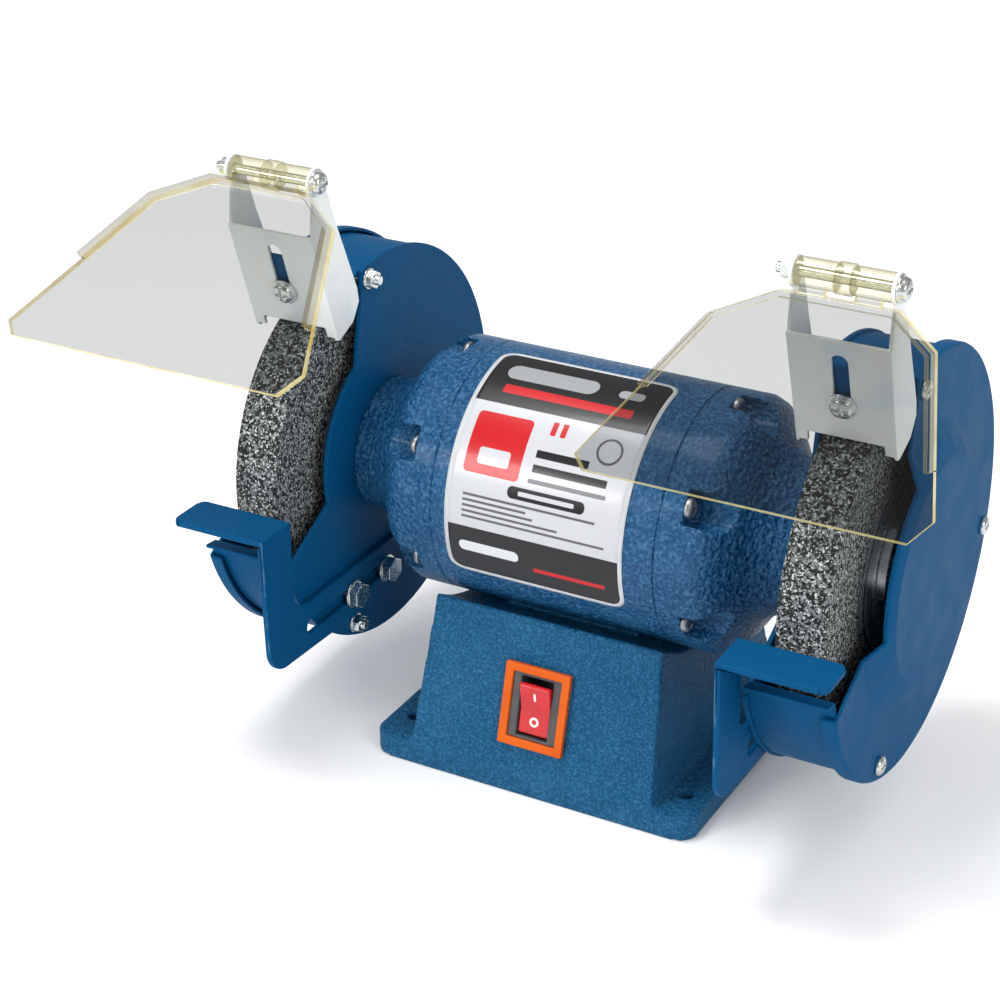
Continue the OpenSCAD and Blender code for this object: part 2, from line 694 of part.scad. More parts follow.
// ---------- tool rests ----------
module tool_rest(side) {
    arm_z = rest_bolt_z + 11.5;
    corner_r = 12;
    toe_z = rest_bolt_z - 10;
    color(paint) sided(side) {
        // table
        translate([leg_x0 + 1, rest_y0, shaft_h + rest_z - rest_t]) cube([rest_w - 4, rest_d, rest_t]);
        translate([leg_x0 + rest_w - 4, rest_y0 + 3, shaft_h + rest_z - rest_t]) cube([4, rest_d - 6, rest_t]);
        for (y = [rest_y0 + 3, rest_y1 - 3]) translate([leg_x0 + rest_w - 3.5, y, shaft_h + rest_z - rest_t])
            cylinder(r = 3, h = rest_t, $fn = 32);
        // leg and slotted arm
        difference() {
            sheet_x(leg_x0, rest_t) union() {
                polygon([[rest_y0, rest_z], [rest_y0 + 2, toe_z + corner_r], [rest_y0 + 2 + corner_r, toe_z],
                    [18, toe_z - 4], [18, arm_z], [rest_y1 + 6, arm_z], [rest_y1, arm_z + 6], [rest_y1, rest_z]]);
                translate([rest_y0 + 2 + corner_r, toe_z + corner_r]) circle(r = corner_r, $fn = 64);
            }
            slot_x(leg_x0 - 1, rest_t + 2, slot_y[0], slot_y[1], rest_bolt_z, rest_slot_w);
        }
    }
}

module rest_bolts(side) {
    color(zinc) sided(side) for (y = rest_bolt_y) {
        rod_x(leg_x0 - 1.2, plate_x1 + 4.2, 3, y, rest_bolt_z);
        rod_x(leg_x0 - 1.4, leg_x0 - 0.1, 6, y, rest_bolt_z);
        hex_x(leg_x0 - 5.4, leg_x0 - 1.3, 10, y, rest_bolt_z);
        hex_x(plate_x1 + 0.05, plate_x1 + 4, 10, y, rest_bolt_z);
    }
}

// ---------- shield brackets ----------
module bracket_flange() {
    polygon([[0, bracket_toe + 1], [1.5, bracket_toe], [13, bracket_toe + 1], [20, bracket_recess],
        [21, -10], [18, bracket_top - 5], [hinge_back + ear_r - 0.4, hinge_rise], [hinge_back - 4.2, hinge_rise - 5.2],
        [hinge_back - 6.2, hinge_rise - 9], [hinge_back - 8.1, hinge_rise - 13], [2.2, bracket_top + 2.4],
        [1.5, bracket_top], [0, bracket_top]]);
    translate([hinge_back, hinge_rise]) circle(r = ear_r, $fn = 48);
}

module bracket(side) {
    half = bracket_w / 2;
    color(zinc) on_bracket(side) {
        // front plate with its slot, cut away over the wheel
        difference() {
            translate([-half, 0, bracket_toe + 2]) cube([bracket_w, bracket_t, bracket_top - bracket_toe - 2]);
            translate([-half + 5, -1, bracket_toe]) cube([bracket_w - 10, bracket_t + 2, bracket_recess - bracket_toe]);
            translate([-bracket_slot_w / 2, -1, bracket_slot[0]])
                cube([bracket_slot_w, bracket_t + 2, bracket_slot[1] - bracket_slot[0]]);
            for (z = bracket_slot) translate([0, 0, z]) rotate([90, 0, 0])
                cylinder(d = bracket_slot_w, h = 8, center = true, $fn = 48);
        }
        for (x = [-half, half - bracket_t]) difference() {
            translate([x, 0, 0]) rotate([90, 0, 90]) linear_extrude(bracket_t) bracket_flange();
            translate([x - 1, hinge_back, hinge_rise]) rotate([0, 90, 0])
                cylinder(d = hinge_screw_d + 0.1, h = bracket_t + 2, $fn = 48);
        }
    }
}

module bracket_screw(side) {
    color(zinc) on_bracket(side) rotate([90, 0, 0]) {
        translate([0, 0, -bracket_t - guard_t - 6]) cylinder(r = 2.5, h = bracket_t + guard_t + 7, $fn = 32);
        translate([0, 0, 0.1]) cylinder(r = 5.6, h = 1, $fn = 48);
        translate([0, 0, 1]) pan_head(4.6, 2.8);
        translate([0, 0, -bracket_t - guard_t - 4.3]) cylinder(d = 8 / cos(30), h = 4, $fn = 6);
    }
}

// ---------- eye shields ----------
module knuckle(x0, x1) {
    translate([x0, 0, 0]) rotate([0, 90, 0]) difference() {
        cylinder(d = barrel_d, h = x1 - x0, $fn = 64);
        translate([0, 0, -1]) cylinder(r = hinge_screw_d / 2 + 0.06, h = x1 - x0 + 2, $fn = 48);
    }
}

// the point a distance t inside corner b of a path a, b, c
function inward(a, b) = [a[1] - b[1], b[0] - a[0]] / norm(b - a);
function mitre(a, b, c, t) = b + t * (inward(a, b) + inward(b, c)) / (1 + inward(a, b) * inward(b, c));
lip_n = len(lip_path) - 1;
lip_in = [for (i = [lip_n:-1:0]) i == 0 ? lip_path[0] + lip_t * inward(lip_path[0], lip_path[1])
    : i == lip_n ? lip_path[i] + lip_t * inward(lip_path[i - 1], lip_path[i])
    : mitre(lip_path[i - 1], lip_path[i], lip_path[i + 1], lip_t)];

module eye_shield(side, tilt) {
    color([0.85, 0.86, 0.80, 0.4]) on_hinge(side) {
        knuckle(-barrel_half, -collar_w / 2 - 0.2);
        knuckle(collar_w / 2 + 0.2, barrel_half);
        // sheet frame: x across, y down the sheet, -z towards the operator
        rotate([tilt - 90, 0, 0]) rotate([-90, 0, 0]) translate([0, 0, 0.4 - barrel_d / 2]) {
            linear_extrude(shield_t) polygon(shield_pts);
            translate([0, 0, -lip_h]) linear_extrude(shield_t + lip_h) polygon(concat(lip_path, lip_in));
            for (s = [-1, 1]) translate([s * lug_x - lug_w / 2, 0, 0]) cube([lug_w, shield_top + 1, shield_t]);
        }
    }
}

module hinge_collar(side) {
    color([0.88, 0.84, 0.60, 0.5]) on_hinge(side) translate([-collar_w / 2, 0, 0]) rotate([0, 90, 0]) difference() {
        cylinder(d = barrel_d + 1, h = collar_w, $fn = 64);
        translate([0, 0, -1]) cylinder(r = hinge_screw_d / 2 + 0.06, h = collar_w + 2, $fn = 48);
    }
}

module hinge_screw(side) {
    half = bracket_w / 2;
    color(zinc) on_hinge(side) rotate([0, 90, 0]) {
        translate([0, 0, -half - 6.5]) cylinder(d = hinge_screw_d, h = 2 * half + 7, $fn = 48);
        translate([0, 0, half]) cylinder(r = 5.4, h = 1, $fn = 48);
        translate([0, 0, half + 0.9]) pan_head(4.4, 3);
        translate([0, 0, -half - 4]) cylinder(d = 7 / cos(30), h = 4, $fn = 6);
    }
}

// ---------- the pieces ----------
base_housing();
bottom_cover();
bottom_screws();
cable_gland();
switch_bezel();
switch_body();
switch_rocker();
capacitor();
terminal_block();
motor_shell();
motor_bolts();
end_bell(-1);  // left_bell
end_bell(1);  // right_bell
bell_screws();
stator_core();
stator_windings();
rotor();
shaft();
bearing(-1);  // left_bearing
bearing(1);  // right_bearing
front_label();
guard_plate(-1);  // left_guard_plate
guard_plate(1);  // right_guard_plate
guard_band(-1);  // left_guard_band
guard_band(1);  // right_guard_band
guard_cover(-1);  // left_guard_cover
guard_cover(1);  // right_guard_cover
cover_screws(-1);  // left_cover_screws
cover_screws(1);  // right_cover_screws
guard_screws(-1);  // left_guard_screws
guard_screws(1);  // right_guard_screws
wheel(-1);  // left_wheel
wheel(1);  // right_wheel
blotters(-1);  // left_blotters
blotters(1);  // right_blotters
inner_flange(-1);  // left_inner_flange
inner_flange(1);  // right_inner_flange
outer_flange(-1);  // left_outer_flange
outer_flange(1);  // right_outer_flange
arbor_nut(-1);  // left_arbor_nut
arbor_nut(1);  // right_arbor_nut
tool_rest(-1);  // left_tool_rest
tool_rest(1);  // right_tool_rest
rest_bolts(-1);  // left_rest_bolts
rest_bolts(1);  // right_rest_bolts
bracket(-1);  // left_bracket
bracket(1);  // right_bracket
bracket_screw(-1);  // left_bracket_screw
bracket_screw(1);  // right_bracket_screw
eye_shield(-1, left_tilt);  // left_eye_shield
eye_shield(1, right_tilt);  // right_eye_shield
hinge_collar(-1);  // left_hinge_collar
hinge_collar(1);  // right_hinge_collar
hinge_screw(-1);  // left_hinge_screw
hinge_screw(1);  // right_hinge_screw
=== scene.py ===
import math

import bmesh
import bpy
from mathutils import Matrix, Vector


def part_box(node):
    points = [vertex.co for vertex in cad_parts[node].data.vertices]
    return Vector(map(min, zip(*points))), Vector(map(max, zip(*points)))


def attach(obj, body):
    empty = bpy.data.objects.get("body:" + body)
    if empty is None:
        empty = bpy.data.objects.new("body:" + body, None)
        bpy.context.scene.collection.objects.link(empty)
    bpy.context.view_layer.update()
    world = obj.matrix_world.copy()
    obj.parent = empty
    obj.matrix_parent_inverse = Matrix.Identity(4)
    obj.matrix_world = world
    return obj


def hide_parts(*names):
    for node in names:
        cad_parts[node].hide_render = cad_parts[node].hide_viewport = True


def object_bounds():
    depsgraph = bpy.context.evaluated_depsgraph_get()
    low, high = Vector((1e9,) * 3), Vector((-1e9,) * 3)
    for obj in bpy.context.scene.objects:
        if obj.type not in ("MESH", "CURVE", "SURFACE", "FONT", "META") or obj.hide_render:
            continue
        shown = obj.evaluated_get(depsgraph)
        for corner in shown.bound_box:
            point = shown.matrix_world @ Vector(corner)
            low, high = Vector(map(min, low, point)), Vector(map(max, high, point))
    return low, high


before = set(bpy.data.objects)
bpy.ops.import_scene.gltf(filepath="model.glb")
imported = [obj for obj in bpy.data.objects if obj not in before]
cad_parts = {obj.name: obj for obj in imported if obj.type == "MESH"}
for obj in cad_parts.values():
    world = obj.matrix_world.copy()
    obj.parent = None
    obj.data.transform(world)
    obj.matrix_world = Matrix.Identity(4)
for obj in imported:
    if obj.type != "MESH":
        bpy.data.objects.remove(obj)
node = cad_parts
cad_box = [list(corner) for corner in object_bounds()]

# ---------------------------------------------------------------------------
# Pedestal. A thin-walled iron casting on a flat bolting plate, open below.
# It is shot-blasted and sprayed with a blue enamel that dries with a fine,
# slightly pebbled skin.


def build_group(name, inputs, outputs):
    """An empty shader group, with its sockets and its two end nodes."""
    group = bpy.data.node_groups.new(name, "ShaderNodeTree")
    for label, kind, value in inputs:
        socket = group.interface.new_socket(name=label, in_out="INPUT", socket_type="NodeSocket" + kind)
        if value is not None:
            socket.default_value = value
    for label, kind in outputs:
        group.interface.new_socket(name=label, in_out="OUTPUT", socket_type="NodeSocket" + kind)
    return group, group.nodes.new("NodeGroupInput").outputs, group.nodes.new("NodeGroupOutput").inputs


def put(tree, kind, wires=None, **settings):
    """Adds a node and gives its sockets a wire or a value."""
    made = tree.nodes.new("ShaderNode" + kind)
    for key, value in settings.items():
        setattr(made, key, value)
    for key, value in (wires or {}).items():
        if isinstance(value, bpy.types.NodeSocket):
            tree.links.new(value, made.inputs[key])
        else:
            made.inputs[key].default_value = value
    return made


def sums(tree, operation, *terms, clamp=False):
    """One arithmetic node on wires or numbers."""
    return put(tree, "Math", dict(enumerate(terms)), operation=operation, use_clamp=clamp).outputs[0]


def blend_colour(tree, share, one, two):
    """Mixes two colours, with share of the second."""
    made = tree.nodes.new("ShaderNodeMix")
    made.data_type, made.blend_type = "RGBA", "MIX"
    for socket, value in ((made.inputs[0], share), (made.inputs[6], one), (made.inputs[7], two)):
        if isinstance(value, bpy.types.NodeSocket):
            tree.links.new(value, socket)
        else:
            socket.default_value = value if isinstance(value, float) else (*value, 1)
    return made.outputs[2]


def stretch(tree, value, low, high, to_low=0.0, to_high=1.0):
    """Maps low..high onto to_low..to_high with soft ends."""
    return put(tree, "MapRange", {0: value, 1: low, 2: high, 3: to_low, 4: to_high},
               interpolation_type="SMOOTHSTEP").outputs[0]


enamel, enamel_in, enamel_out = build_group(
    "sprayed_enamel",
    [("Colour", "Color", (0.01, 0.1, 0.25, 1)), ("Pale", "Color", (0.1, 0.25, 0.45, 1)),
     ("Pebbles per m", "Float", 600.0), ("Gloss", "Float", 0.35)],
    [("Colour", "Color"), ("Roughness", "Float"), ("Height", "Float")])
where = put(enamel, "TexCoord").outputs["Object"]
drift = put(enamel, "TexNoise", {"Vector": where, "Scale": 60.0, "Detail": 2.0}).outputs[0]
pebble_scale = enamel_in["Pebbles per m"]
pebble = put(enamel, "TexVoronoi", {"Vector": where, "Scale": pebble_scale, "Smoothness": 0.7},
             feature="SMOOTH_F1").outputs[0]
speck = put(enamel, "TexNoise", {"Vector": where, "Scale": sums(enamel, "MULTIPLY", pebble_scale, 1.6),
                                 "Detail": 3.0}).outputs[0]
skin = sums(enamel, "ADD", sums(enamel, "MULTIPLY", pebble, -0.8), speck)
tint = sums(enamel, "ADD", stretch(enamel, speck, 0.44, 0.66, 0.0, 0.45),
            stretch(enamel, drift, 0.4, 0.75, 0.0, 0.10))
sprayed = blend_colour(enamel, tint, enamel_in["Colour"], enamel_in["Pale"])
dulled = sums(enamel, "ADD", enamel_in["Gloss"], stretch(enamel, drift, 0.3, 0.7, -0.04, 0.06))
enamel.links.new(sprayed, enamel_out["Colour"])
enamel.links.new(dulled, enamel_out["Roughness"])
enamel.links.new(skin, enamel_out["Height"])

wear, wear_in, wear_out = build_group(
    "rubbed_edges", [("Reach", "Float", 0.04), ("Patch per m", "Float", 140.0)], [("Mask", "Float")])
ridge = put(wear, "NewGeometry").outputs["Pointiness"]
patch = put(wear, "TexNoise", {"Vector": put(wear, "TexCoord").outputs["Object"],
                               "Scale": wear_in["Patch per m"], "Detail": 4.0}).outputs[0]
sharp = stretch(wear, ridge, 0.57, sums(wear, "ADD", 0.59, wear_in["Reach"]))
rubbed_off = sums(wear, "MULTIPLY", sharp, stretch(wear, patch, 0.42, 0.62), clamp=True)
wear.links.new(rubbed_off, wear_out["Mask"])


def use(tree, group, **values):
    """Places a shader group, with values for its inputs."""
    made = tree.nodes.new("ShaderNodeGroup")
    made.node_tree = group
    for key, value in values.items():
        socket = made.inputs[key.replace("_", " ")]
        if isinstance(value, bpy.types.NodeSocket):
            tree.links.new(value, socket)
        else:
            socket.default_value = (*value, 1) if isinstance(value, tuple) else value
    return made.outputs


def finish_named(name, **constants):
    """A new material, its tree and its one Principled shader."""
    made = bpy.data.materials.new(name)
    made.use_nodes = True
    shader = made.node_tree.nodes["Principled BSDF"]
    for key, value in constants.items():
        shader.inputs[key.replace("_", " ")].default_value = value
    return made, made.node_tree, shader


def bumped(tree, shader, height, depth):
    """Turns a height into the shader's normal; depth is in metres."""
    relief = put(tree, "Bump", {"Height": height, "Strength": 1.0, "Distance": depth})
    tree.links.new(relief.outputs[0], shader.inputs["Normal"])


def enamelled(name, colour, pale, pebbles, gloss, depth, shine, coat=0.0):
    """Blue enamel that is rubbed paler along its sharpest edges."""
    made, tree, shader = finish_named(name, Specular_IOR_Level=shine, Coat_Weight=coat, Coat_Roughness=0.16)
    paint = use(tree, enamel, Colour=colour, Pale=pale, Pebbles_per_m=pebbles, Gloss=gloss)
    rubbed = use(tree, wear, Reach=0.05)["Mask"]
    rubbed_blue = (0.16, 0.28, 0.42)
    painted = blend_colour(tree, sums(tree, "MULTIPLY", rubbed, 0.35), paint["Colour"], rubbed_blue)
    tree.links.new(painted, shader.inputs["Base Color"])
    tree.links.new(paint["Roughness"], shader.inputs["Roughness"])
    bumped(tree, shader, paint["Height"], depth)
    return made


weld_gap = 2e-6
flat_within = math.radians(0.4)


def dress(name, finish, edge, corner=32.0, rings=2, miter="MITER_ARC", as_cast=False):
    """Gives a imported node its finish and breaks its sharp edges.

    An edge gets a small round of rings steps where it turns by more than corner degrees.
    As cast, the whole skin is softened at the scale of edge instead.
    """
    part = node[name]
    if "custom_normal" in part.data.attributes:
        part.data.attributes.remove(part.data.attributes["custom_normal"])
    part.data.shade_smooth()
    part.data.materials.clear()
    part.data.materials.append(finish)
    part.modifiers.new("joined", "WELD").merge_threshold = weld_gap
    if as_cast:
        skin = part.modifiers.new("as_cast", "REMESH")
        skin.mode, skin.voxel_size, skin.use_smooth_shade = "VOXEL", edge, True
        soft = part.modifiers.new("soft_edges", "SMOOTH")
        soft.factor, soft.iterations = 0.5, rings
    elif edge:
        flats = part.modifiers.new("flats", "DECIMATE")
        flats.decimate_type, flats.angle_limit = "DISSOLVE", flat_within
        broken = part.modifiers.new("broken_edges", "BEVEL")
        broken.width, broken.segments, broken.limit_method = edge, rings, "ANGLE"
        broken.angle_limit, broken.use_clamp_overlap = math.radians(corner), False
        broken.miter_outer = miter
    if not as_cast:
        part.modifiers.new("even_shading", "WEIGHTED_NORMAL").keep_sharp = True


casting_paint = enamelled("casting_enamel", colour=(0.003, 0.074, 0.175), pale=(0.045, 0.21, 0.40),
                          pebbles=620.0, gloss=0.40, depth=0.0009, shine=0.15)
dress("base_housing", casting_paint, 0.0010, rings=3, as_cast=True)

# ---------------------------------------------------------------------------
# Underside and supply bush. A pressed steel cover closes the casting, held by
# four screws, and a moulded bush lines the supply hole in the rear wall.

metal, metal_in, metal_out = build_group(
    "worked_metal",
    [("Colour", "Color", (0.6, 0.62, 0.64, 1)), ("Cast", "Color", (0.75, 0.70, 0.55, 1)),
     ("Marks per m", "Float", 300.0), ("Dullness", "Float", 0.3)],
    [("Colour", "Color"), ("Roughness", "Float"), ("Height", "Float")])
spot = put(metal, "TexCoord").outputs["Object"]
cloud = put(metal, "TexNoise", {"Vector": spot, "Scale": 45.0, "Detail": 3.0, "Distortion": 0.6}).outputs[0]
drawn_out = put(metal, "Mapping", {"Vector": spot, "Scale": (1.0, 1.0, 9.0)}).outputs[0]
scratch = put(metal, "TexNoise", {"Vector": drawn_out, "Scale": metal_in["Marks per m"],
                                  "Detail": 4.0}).outputs[0]
cast_share = stretch(metal, cloud, 0.40, 0.68, 0.0, 0.55)
clouded = blend_colour(metal, cast_share, metal_in["Colour"], metal_in["Cast"])
scuffed = sums(metal, "ADD", metal_in["Dullness"], stretch(metal, scratch, 0.3, 0.7, -0.06, 0.12))
metal.links.new(clouded, metal_out["Colour"])
metal.links.new(scuffed, metal_out["Roughness"])
metal.links.new(scratch, metal_out["Height"])


def metallic(name, colour, cast, marks, dullness, depth):
    """Bare metal with clouds of a second colour and drawn-out marks."""
    made, tree, shader = finish_named(name, Metallic=1.0)
    surface = use(tree, metal, Colour=colour, Cast=cast, Marks_per_m=marks, Dullness=dullness)
    tree.links.new(surface["Colour"], shader.inputs["Base Color"])
    tree.links.new(surface["Roughness"], shader.inputs["Roughness"])
    bumped(tree, shader, surface["Height"], depth)
    return made


def moulded(name, colour, dark, roughness, shine=0.5):
    """Plastic with the faint grain of its mould."""
    made, tree, shader = finish_named(name, Specular_IOR_Level=shine)
    place = put(tree, "TexCoord").outputs["Object"]
    grain = put(tree, "TexNoise", {"Vector": place, "Scale": 900.0, "Detail": 2.0}).outputs[0]
    flow = put(tree, "TexNoise", {"Vector": place, "Scale": 90.0}).outputs[0]
    swirled = blend_colour(tree, stretch(tree, flow, 0.35, 0.7), colour, dark)
    grained = stretch(tree, grain, 0.3, 0.7, roughness - 0.04, roughness + 0.06)
    tree.links.new(swirled, shader.inputs["Base Color"])
    tree.links.new(grained, shader.inputs["Roughness"])
    bumped(tree, shader, grain, 0.00004)
    return made


zinc = metallic("bright_zinc", (0.82, 0.86, 0.86), (0.88, 0.84, 0.72), 300.0, 0.22, 0.000004)
steel = metallic("turned_steel", (0.62, 0.64, 0.66), (0.72, 0.72, 0.70), 600.0, 0.28, 0.000006)
pressed_steel = metallic("pressed_steel", (0.42, 0.43, 0.45), (0.50, 0.49, 0.46), 400.0, 0.42, 0.00004)
black_plastic = moulded("black_moulding", (0.020, 0.020, 0.023), (0.028, 0.028, 0.031), 0.38)
dress("bottom_cover", pressed_steel, 0.0003)
dress("bottom_screws", zinc, 0.0)
dress("cable_gland", black_plastic, 0.0005)

# ---------------------------------------------------------------------------
# Switch. An orange bezel frames a grey switch block in the sloping front wall,
# and a glossy red rocker turns on its pins between on and off. Its two marks
# are printed in white.

bezel_orange = moulded("orange_moulding", (0.66, 0.105, 0.004), (0.58, 0.085, 0.003), 0.34, 0.2)
block_grey = moulded("grey_moulding", (0.075, 0.075, 0.082), (0.055, 0.055, 0.060), 0.34)
dress("switch_bezel", bezel_orange, 0.0006, miter="MITER_SHARP")
dress("switch_body", block_grey, 0.0004)


def middle(name):
    """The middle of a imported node's box."""
    low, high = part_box(name)
    return (low + high) / 2


wall_slope = math.radians(14.88)
up_wall = Vector((0, math.sin(wall_slope), math.cos(wall_slope)))
stroke_half, stroke_blur = 0.00040, 1.3
bar_rise, bar_half, bar_faded = 0.0050, 0.0017, 0.0018
ring_drop, ring_r = 0.0062, 0.0016
rocker_red, tree, shader = finish_named("red_moulding", Coat_Weight=0.5, Coat_Roughness=0.05)
place = put(tree, "TexCoord").outputs["Object"]
from_mid = put(tree, "VectorMath", {0: place, 1: tuple(middle("switch_rocker"))},
               operation="SUBTRACT").outputs[0]
across = put(tree, "SeparateXYZ", {0: from_mid}).outputs[0]
rise = put(tree, "VectorMath", {0: from_mid, 1: tuple(up_wall)}, operation="DOT_PRODUCT").outputs["Value"]


def near_line(tree, value, centre, half, faded):
    """1 where value lies within half of centre, fading to 0 at faded."""
    off = sums(tree, "ABSOLUTE", sums(tree, "SUBTRACT", value, centre))
    return stretch(tree, off, half, faded, 1.0, 0.0)


stroke_faded = stroke_half * stroke_blur
bar = sums(tree, "MULTIPLY", near_line(tree, across, 0.0, stroke_half, stroke_faded),
           near_line(tree, rise, bar_rise, bar_half, bar_faded))
to_ring = sums(tree, "SQRT", sums(tree, "ADD", sums(tree, "POWER", across, 2.0),
                                  sums(tree, "POWER", sums(tree, "ADD", rise, ring_drop), 2.0)))
ring = near_line(tree, to_ring, ring_r, stroke_half, stroke_faded)
marks = sums(tree, "MAXIMUM", bar, ring, clamp=True)
sheen = put(tree, "TexNoise", {"Vector": place, "Scale": 120.0}).outputs[0]
red = blend_colour(tree, stretch(tree, sheen, 0.35, 0.7), (0.62, 0.008, 0.012), (0.52, 0.006, 0.010))
tree.links.new(blend_colour(tree, marks, red, (0.88, 0.88, 0.86)), shader.inputs["Base Color"])
tree.links.new(stretch(tree, sheen, 0.3, 0.7, 0.16, 0.24), shader.inputs["Roughness"])
dress("switch_rocker", rocker_red, 0.0006, 24.0, 3)

# ---------------------------------------------------------------------------
# Inside the pedestal. The run capacitor is a plastic can, and a porcelain-white
# block joins the wires; both lie on the bottom cover.

can_plastic = moulded("capacitor_can", (0.72, 0.71, 0.66), (0.62, 0.61, 0.56), 0.32)
dress("capacitor", can_plastic, 0.0008)
dress("terminal_block", can_plastic, 0.0004)

# ---------------------------------------------------------------------------
# Motor. A rolled steel shell between two die-cast end bells, all sprayed with
# a hammer-finish enamel whose skin is coarse and wet-looking. Screws in deep
# pockets hold the bells, and two bolts hold the shell to its cradle.

hammer_paint = enamelled("hammer_enamel", colour=(0.001, 0.062, 0.172), pale=(0.075, 0.23, 0.42),
                         pebbles=420.0, gloss=0.30, depth=0.0017, shine=0.30, coat=0.12)
dress("motor_shell", hammer_paint, 0.0006)
for bell in ("left_bell", "right_bell"):
    dress(bell, hammer_paint, 0.0009, 30.0, 3)
dress("bell_screws", pressed_steel, 0.0003)
dress("motor_bolts", zinc, 0.0003)

# ---------------------------------------------------------------------------
# Inside the motor. Stacked laminations carry the copper windings, and the cage
# rotor turns on a steel shaft in two shielded ball bearings.

laminations, tree, shader = finish_named("stacked_laminations", Metallic=1.0)
along = put(tree, "SeparateXYZ", {0: put(tree, "TexCoord").outputs["Object"]}).outputs[0]
leaf_t = 0.0005
leaf = sums(tree, "PINGPONG", along, leaf_t)
stacked = blend_colour(tree, stretch(tree, leaf, 0.0, leaf_t), (0.20, 0.20, 0.21), (0.42, 0.42, 0.43))
tree.links.new(stacked, shader.inputs["Base Color"])
tree.links.new(stretch(tree, leaf, 0.0, leaf_t, 0.5, 0.36), shader.inputs["Roughness"])
bumped(tree, shader, leaf, 0.4)

copper_wire, tree, shader = finish_named("enamelled_wire", Metallic=1.0, Coat_Weight=0.4)
place = put(tree, "TexCoord").outputs["Object"]
turns = put(tree, "TexWave", {"Vector": place, "Scale": 180.0, "Distortion": 3.0},
            wave_type="RINGS", rings_direction="X").outputs["Fac"]
tree.links.new(blend_colour(tree, turns, (0.36, 0.11, 0.03), (0.72, 0.30, 0.12)), shader.inputs["Base Color"])
tree.links.new(stretch(tree, turns, 0.0, 1.0, 0.42, 0.28), shader.inputs["Roughness"])
bumped(tree, shader, turns, 0.0003)

dress("stator_core", laminations, 0.0)
dress("rotor", laminations, 0.0)
dress("stator_windings", copper_wire, 0.0)
dress("shaft", steel, 0.0)
for race in ("left_bearing", "right_bearing"):
    dress(race, steel, 0.0003)

# ---------------------------------------------------------------------------
# Front label. A printed aluminium foil wrapped round the front of the shell,
# silver at its edge, with black bands, a pale panel and plain generic shapes
# where a maker would print words.

label_low, label_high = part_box("front_label")
shell_low, shell_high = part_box("motor_shell")
shaft_z = (shell_low.z + shell_high.z) / 2
shell_r = (shell_high.z - shell_low.z) / 2
label_w = label_high.x - label_low.x
label_from, label_to = math.radians(-26.0), math.radians(90.0)  # angles above the shaft's level
label_h = (label_to - label_from) * shell_r
label_corner, columns, rows_down = 0.0065, 24, 90
foil_lift, foil_t = 0.00012, 0.00022
uv_per_m = 10
mesh = bpy.data.meshes.new("label_foil")
foil = bpy.data.objects.new("label_foil", mesh)
bpy.context.scene.collection.objects.link(foil)
foil_r = shell_r + foil_lift
skin = bmesh.new()
print_at = skin.loops.layers.uv.new("print_at")
grid = []
for j in range(rows_down + 1):
    down = label_h * j / rows_down
    near_end = min(down, label_h - down)
    inset = 0.0
    if near_end < label_corner:
        inset = label_corner - math.sqrt(max(0.0, label_corner ** 2 - (label_corner - near_end) ** 2))
    angle = label_to - down / shell_r
    row = []
    for i in range(columns + 1):
        side_x = inset + (label_w - 2 * inset) * i / columns
        point = skin.verts.new((label_low.x + side_x, -foil_r * math.cos(angle),
                                shaft_z + foil_r * math.sin(angle)))
        row.append((point, (side_x, down)))
    grid.append(row)
for upper, lower in zip(grid, grid[1:]):
    for (a, b, c, d) in zip(upper, upper[1:], lower[1:], lower):
        face = skin.faces.new((a[0], b[0], c[0], d[0]))
        for loop, corner in zip(face.loops, (a, b, c, d)):
            loop[print_at].uv = (corner[1][0] * uv_per_m, corner[1][1] * uv_per_m)
bmesh.ops.recalc_face_normals(skin, faces=skin.faces)
if skin.faces[0].normal.dot(Vector((0, 0, 1))) < 0:
    bmesh.ops.reverse_faces(skin, faces=skin.faces)
skin.to_mesh(mesh)
skin.free()
mesh.shade_smooth()
thick = foil.modifiers.new("foil", "SOLIDIFY")
thick.thickness, thick.offset = foil_t, 1.0

patch_group, patch_in, patch_out = build_group(
    "printed_patch",
    [("At", "Vector", None), ("Across", "Float", 0.0), ("Down", "Float", 0.0), ("Half width", "Float", 1.0),
     ("Half height", "Float", 1.0), ("Corner", "Float", 0.0)], [("Mask", "Float")])
split = put(patch_group, "SeparateXYZ", {0: patch_in["At"]}).outputs


def beyond(axis, centre, half):
    """How far a point is past a patch's straight side, before its rounded corner."""
    off = sums(patch_group, "ABSOLUTE", sums(patch_group, "SUBTRACT", split[axis], centre))
    return sums(patch_group, "ADD", sums(patch_group, "SUBTRACT", off, half), patch_in["Corner"])


past_x = beyond(0, patch_in["Across"], patch_in["Half width"])
past_y = beyond(1, patch_in["Down"], patch_in["Half height"])
outer = sums(patch_group, "SQRT", sums(patch_group, "ADD",
             sums(patch_group, "POWER", sums(patch_group, "MAXIMUM", past_x, 0.0), 2.0),
             sums(patch_group, "POWER", sums(patch_group, "MAXIMUM", past_y, 0.0), 2.0)))
inner = sums(patch_group, "MINIMUM", sums(patch_group, "MAXIMUM", past_x, past_y), 0.0)
edge_gap = sums(patch_group, "SUBTRACT", sums(patch_group, "ADD", outer, inner), patch_in["Corner"])
ink_blur = 0.0012
patch_group.links.new(stretch(patch_group, edge_gap, -ink_blur, ink_blur, 1.0, 0.0), patch_out["Mask"])

